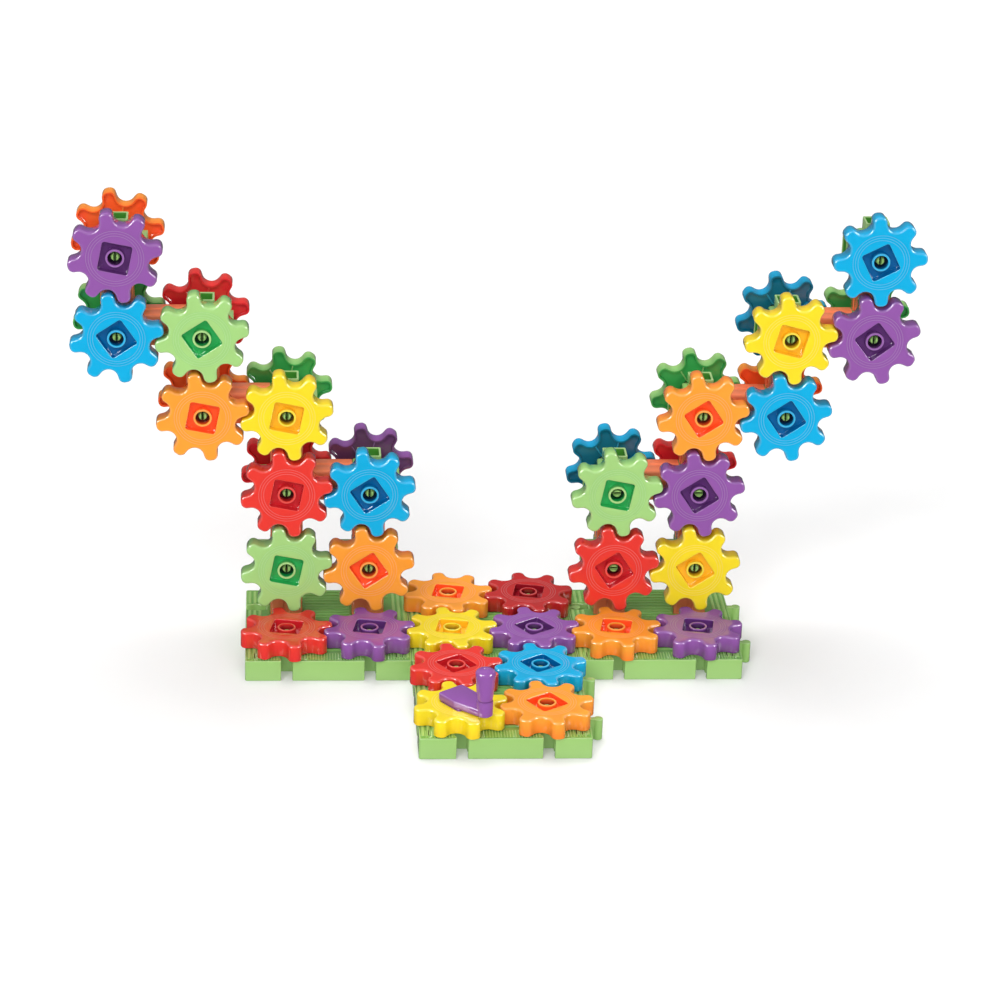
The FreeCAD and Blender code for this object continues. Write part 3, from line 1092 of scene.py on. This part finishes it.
def plate_mesh():
    """Plate with its wells and posts, the ribs under it, its tabs and its ridges."""
    plate = Moulding()
    skirt = plate_skirt()
    # Painted highlight along the rounded edges; the field is in painted shade.
    plate.shell(skirt, caps=(), shade_depths=[0, 0, 0, 0, 0, 0, field_shade],
                pales=[0, 0.3, 0, 0.6, 0.6, 0, 0])
    hollow = hollow_outline()
    inner = [level(hollow, 0), level(hollow, plate_height - plate_skin)]
    plate.shell(inner, caps=(-1,))

    well = square(well_side, well_corner)
    well_floor = post_level + block_side / 2
    box = solid(square(well_side + well_box, 1.5), well_floor - box_floor, plate_height - 1, 0.2)
    post_stub = stub(well_floor - overlap, post_level + stub_end)
    rims = []
    for post in [(x * pitch / 2, y * pitch / 2) for x in (-1, 1) for y in (-1, 1)]:
        rim = [level(square(well_side + well_mouth, 1.6) + post, plate_height),
               level(well + post, plate_height - 0.2), level(well + post, well_floor)]
        rims.append(rim[0])
        # Painted shade deepening down each well.
        plate.shell(rim, caps=(-1,), shade_depths=[field_shade, 0.6, 1])
        plate.put(box, at(*post))
        plate.put(post_stub, at(*post))
        plate.put(split_peg(), at(*post, post_level))

    inside = plate_side - 2 * plate_wall
    rib = solid(strip(-inside / 2, inside / 2, cross_rib, 0.1), 0, plate_height - 1, 0.1)
    for turn in (0, 90):
        plate.put(rib, about("Z", turn))
    for turn in (0, 90):
        for along in (-pitch / 2, pitch / 2):
            plate.put(edge_tab(), about("Z", turn) @ at(plate_side / 2, along))
    plate.put(plate_ribs())
    # The top's flat area is in the field's painted shade.
    top = ([skirt[-1]] + rims, field_shade)
    bottom = ([skirt[0], inner[0]], 0.0)
    return plate.mesh("base_plate", [top, bottom])


def to_grid(lowest):
    """Middle of a plate along one axis, from its lowest edge, which has no tabs."""
    return round(lowest / (pitch * MM) + 1) * pitch * MM


plate_shape = plate_mesh()
for node in frame["nodes"]:
    if node.startswith("base_plate"):
        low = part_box(node)[0]
        place = at(to_grid(low.x), to_grid(low.y)) @ in_metres
        show(node.replace("base", "ground"), plate_shape.copy(), place, node)


# ---- crank ----
def crank_arm():
    """Kite-shaped arm with its boss, the square plug under it and the handle's pin."""
    side = np.array([(-crank_tail, -crank_half_width), (crank_shoulder, -crank_half_width),
                     (crank_radius, -boss_radius)])
    corners = np.vstack([side, (side * (1, -1))[::-1]])
    kite = polygon(corners, crank_corners + crank_corners[::-1], 6)
    whole = solid(kite, crank_base, crank_base + crank_thickness, crank_rounding)
    top = crank_base + boss_height
    profile = [(boss_radius - 0.6, crank_base),
               (boss_radius, crank_base + 0.6),
               (boss_radius, top - 0.7), (boss_radius - 0.2, top - 0.2),
               (boss_radius - 0.7, top),
               (pin_radius, top), (pin_radius, top + handle_height - pin_spare)]
    whole.put(solid(square(socket_side - plug_play, plug_corner), -socket_depth + 0.5,
                    crank_base + 0.5, 0.3))
    whole.put(revolved(profile), at(crank_radius, 0))
    return whole


def crank_handle():
    """Handle that widens to a domed head with a dimple in its top."""
    bottom = crank_base + boss_height + handle_gap
    crown = bottom + handle_height
    neck = bottom + handle_lip
    shoulder = crown - head_height
    profile = [(handle_bore, crown - 3.5), (handle_bore, bottom), (handle_foot - 0.6, bottom),
               (handle_foot - 0.15, bottom + 0.2), (handle_foot, neck)]
    for step in range(1, handle_steps + 1):
        share = step / handle_steps
        profile.append((handle_foot + (handle_head - handle_foot) * share ** 0.9,
                        neck + (shoulder - neck) * share))
    for step in range(1, handle_steps + 1):
        angle = math.pi / 2 * step / handle_steps * 0.86
        profile.append((handle_head * math.cos(angle) ** 0.8,
                        shoulder + head_height * math.sin(angle)))
    profile += [(1.6, crown - 0.03), (1.3, crown - 0.15), (1.0, crown - 0.8), (0.3, crown - 1.0)]
    handle = Moulding()
    handle.put(revolved(profile), at(crank_radius, 0))
    return handle


crank_centre = gear_place("crank_gear")[0]
low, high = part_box("crank_handle")
to_handle = (low + high) / 2 - crank_centre
crank_turn = math.atan2(to_handle.y, to_handle.x)
for name, node, shape in (("crank_lever", "crank_arm", crank_arm()),
                          ("crank_grip", "crank_handle", crank_handle())):
    show(name, shape.mesh(name), place_of(crank_centre, "up", crank_turn), node)


# ---- table, light and camera ----
def floor():
    """Pale table, lit a little from within so that it looks white."""
    finish = Finish("pale_table")
    grain = finish.noise(finish.place(), table_grain, 3.0)
    dark, pale = ((grey, grey, grey, 1) for grey in table_greys)
    finish.set(Base_Color=finish.mix(grain, dark, pale), Roughness=table_roughness)
    finish.set(Emission_Color=white, Emission_Strength=table_glow, Specular_IOR_Level=0.0)
    corners = [(-1, -1), (1, -1), (1, 1), (-1, 1)]
    mesh = bpy.data.meshes.new("table_top")
    mesh.from_pydata([(x * table_reach, y * table_reach, 0) for x, y in corners], [],
                     [(0, 1, 2, 3)])
    mesh.materials.append(finish.material)
    table = bpy.data.objects.new("table_top", mesh)
    table.visible_glossy = False
    bpy.context.scene.collection.objects.link(table)


def sun(name, direction, strength, softness, lights, shines):
    """Large far light from a direction."""
    light = bpy.data.lights.new(name, "SUN")
    light.energy = strength
    light.angle = math.radians(softness)
    lamp = bpy.data.objects.new(name, light)
    lamp.visible_diffuse = lights
    lamp.visible_glossy = shines
    lamp.rotation_euler = Vector(direction).to_track_quat("Z", "Y").to_euler()
    bpy.context.scene.collection.objects.link(lamp)


def studio():
    """White room that is brighter behind the toy than in front of it."""
    world = bpy.data.worlds.new("studio")
    world.use_nodes = True
    tree = world.node_tree
    direction = add_node(tree, "ShaderNodeTexCoord", output="Generated")
    part = add_node(tree, "ShaderNodeSeparateXYZ", {0: direction}, "Y")
    sockets = {"Value": part, "From Min": room_change[0], "From Max": room_change[1],
               "To Min": room_front, "To Max": room_back}
    strength = add_node(tree, "ShaderNodeMapRange", sockets, interpolation_type="SMOOTHSTEP")
    background = tree.nodes["Background"].inputs
    connect(white, background["Color"])
    connect(strength, background["Strength"])
    bpy.context.scene.world = world


def camera():
    """Camera by its place on the grid, its three turns and its focal length."""
    step = pitch * MM
    x, y, z = camera_place
    yaw, dip, roll = (math.radians(angle) for angle in camera_turns)
    forward = Vector((math.sin(yaw) * math.cos(dip), math.cos(yaw) * math.cos(dip),
                      -math.sin(dip)))
    level_right = Vector((math.cos(yaw), -math.sin(yaw), 0))
    level_down = forward.cross(level_right)
    right = math.cos(roll) * level_right + math.sin(roll) * level_down
    down = -math.sin(roll) * level_right + math.cos(roll) * level_down
    data = bpy.data.cameras.new("camera")
    data.sensor_width = sensor_width
    data.lens = focal_length * sensor_width
    view = bpy.data.objects.new("camera", data)
    turn = Matrix((right, -down, -forward)).transposed().to_4x4()
    view.matrix_world = at(x * step, y * step, z * step + camera_lift) @ turn
    bpy.context.scene.collection.objects.link(view)
    bpy.context.scene.camera = view


floor()
studio()
for row in suns:
    sun(*row)
camera()
bpy.context.scene.view_settings.view_transform = "Standard"
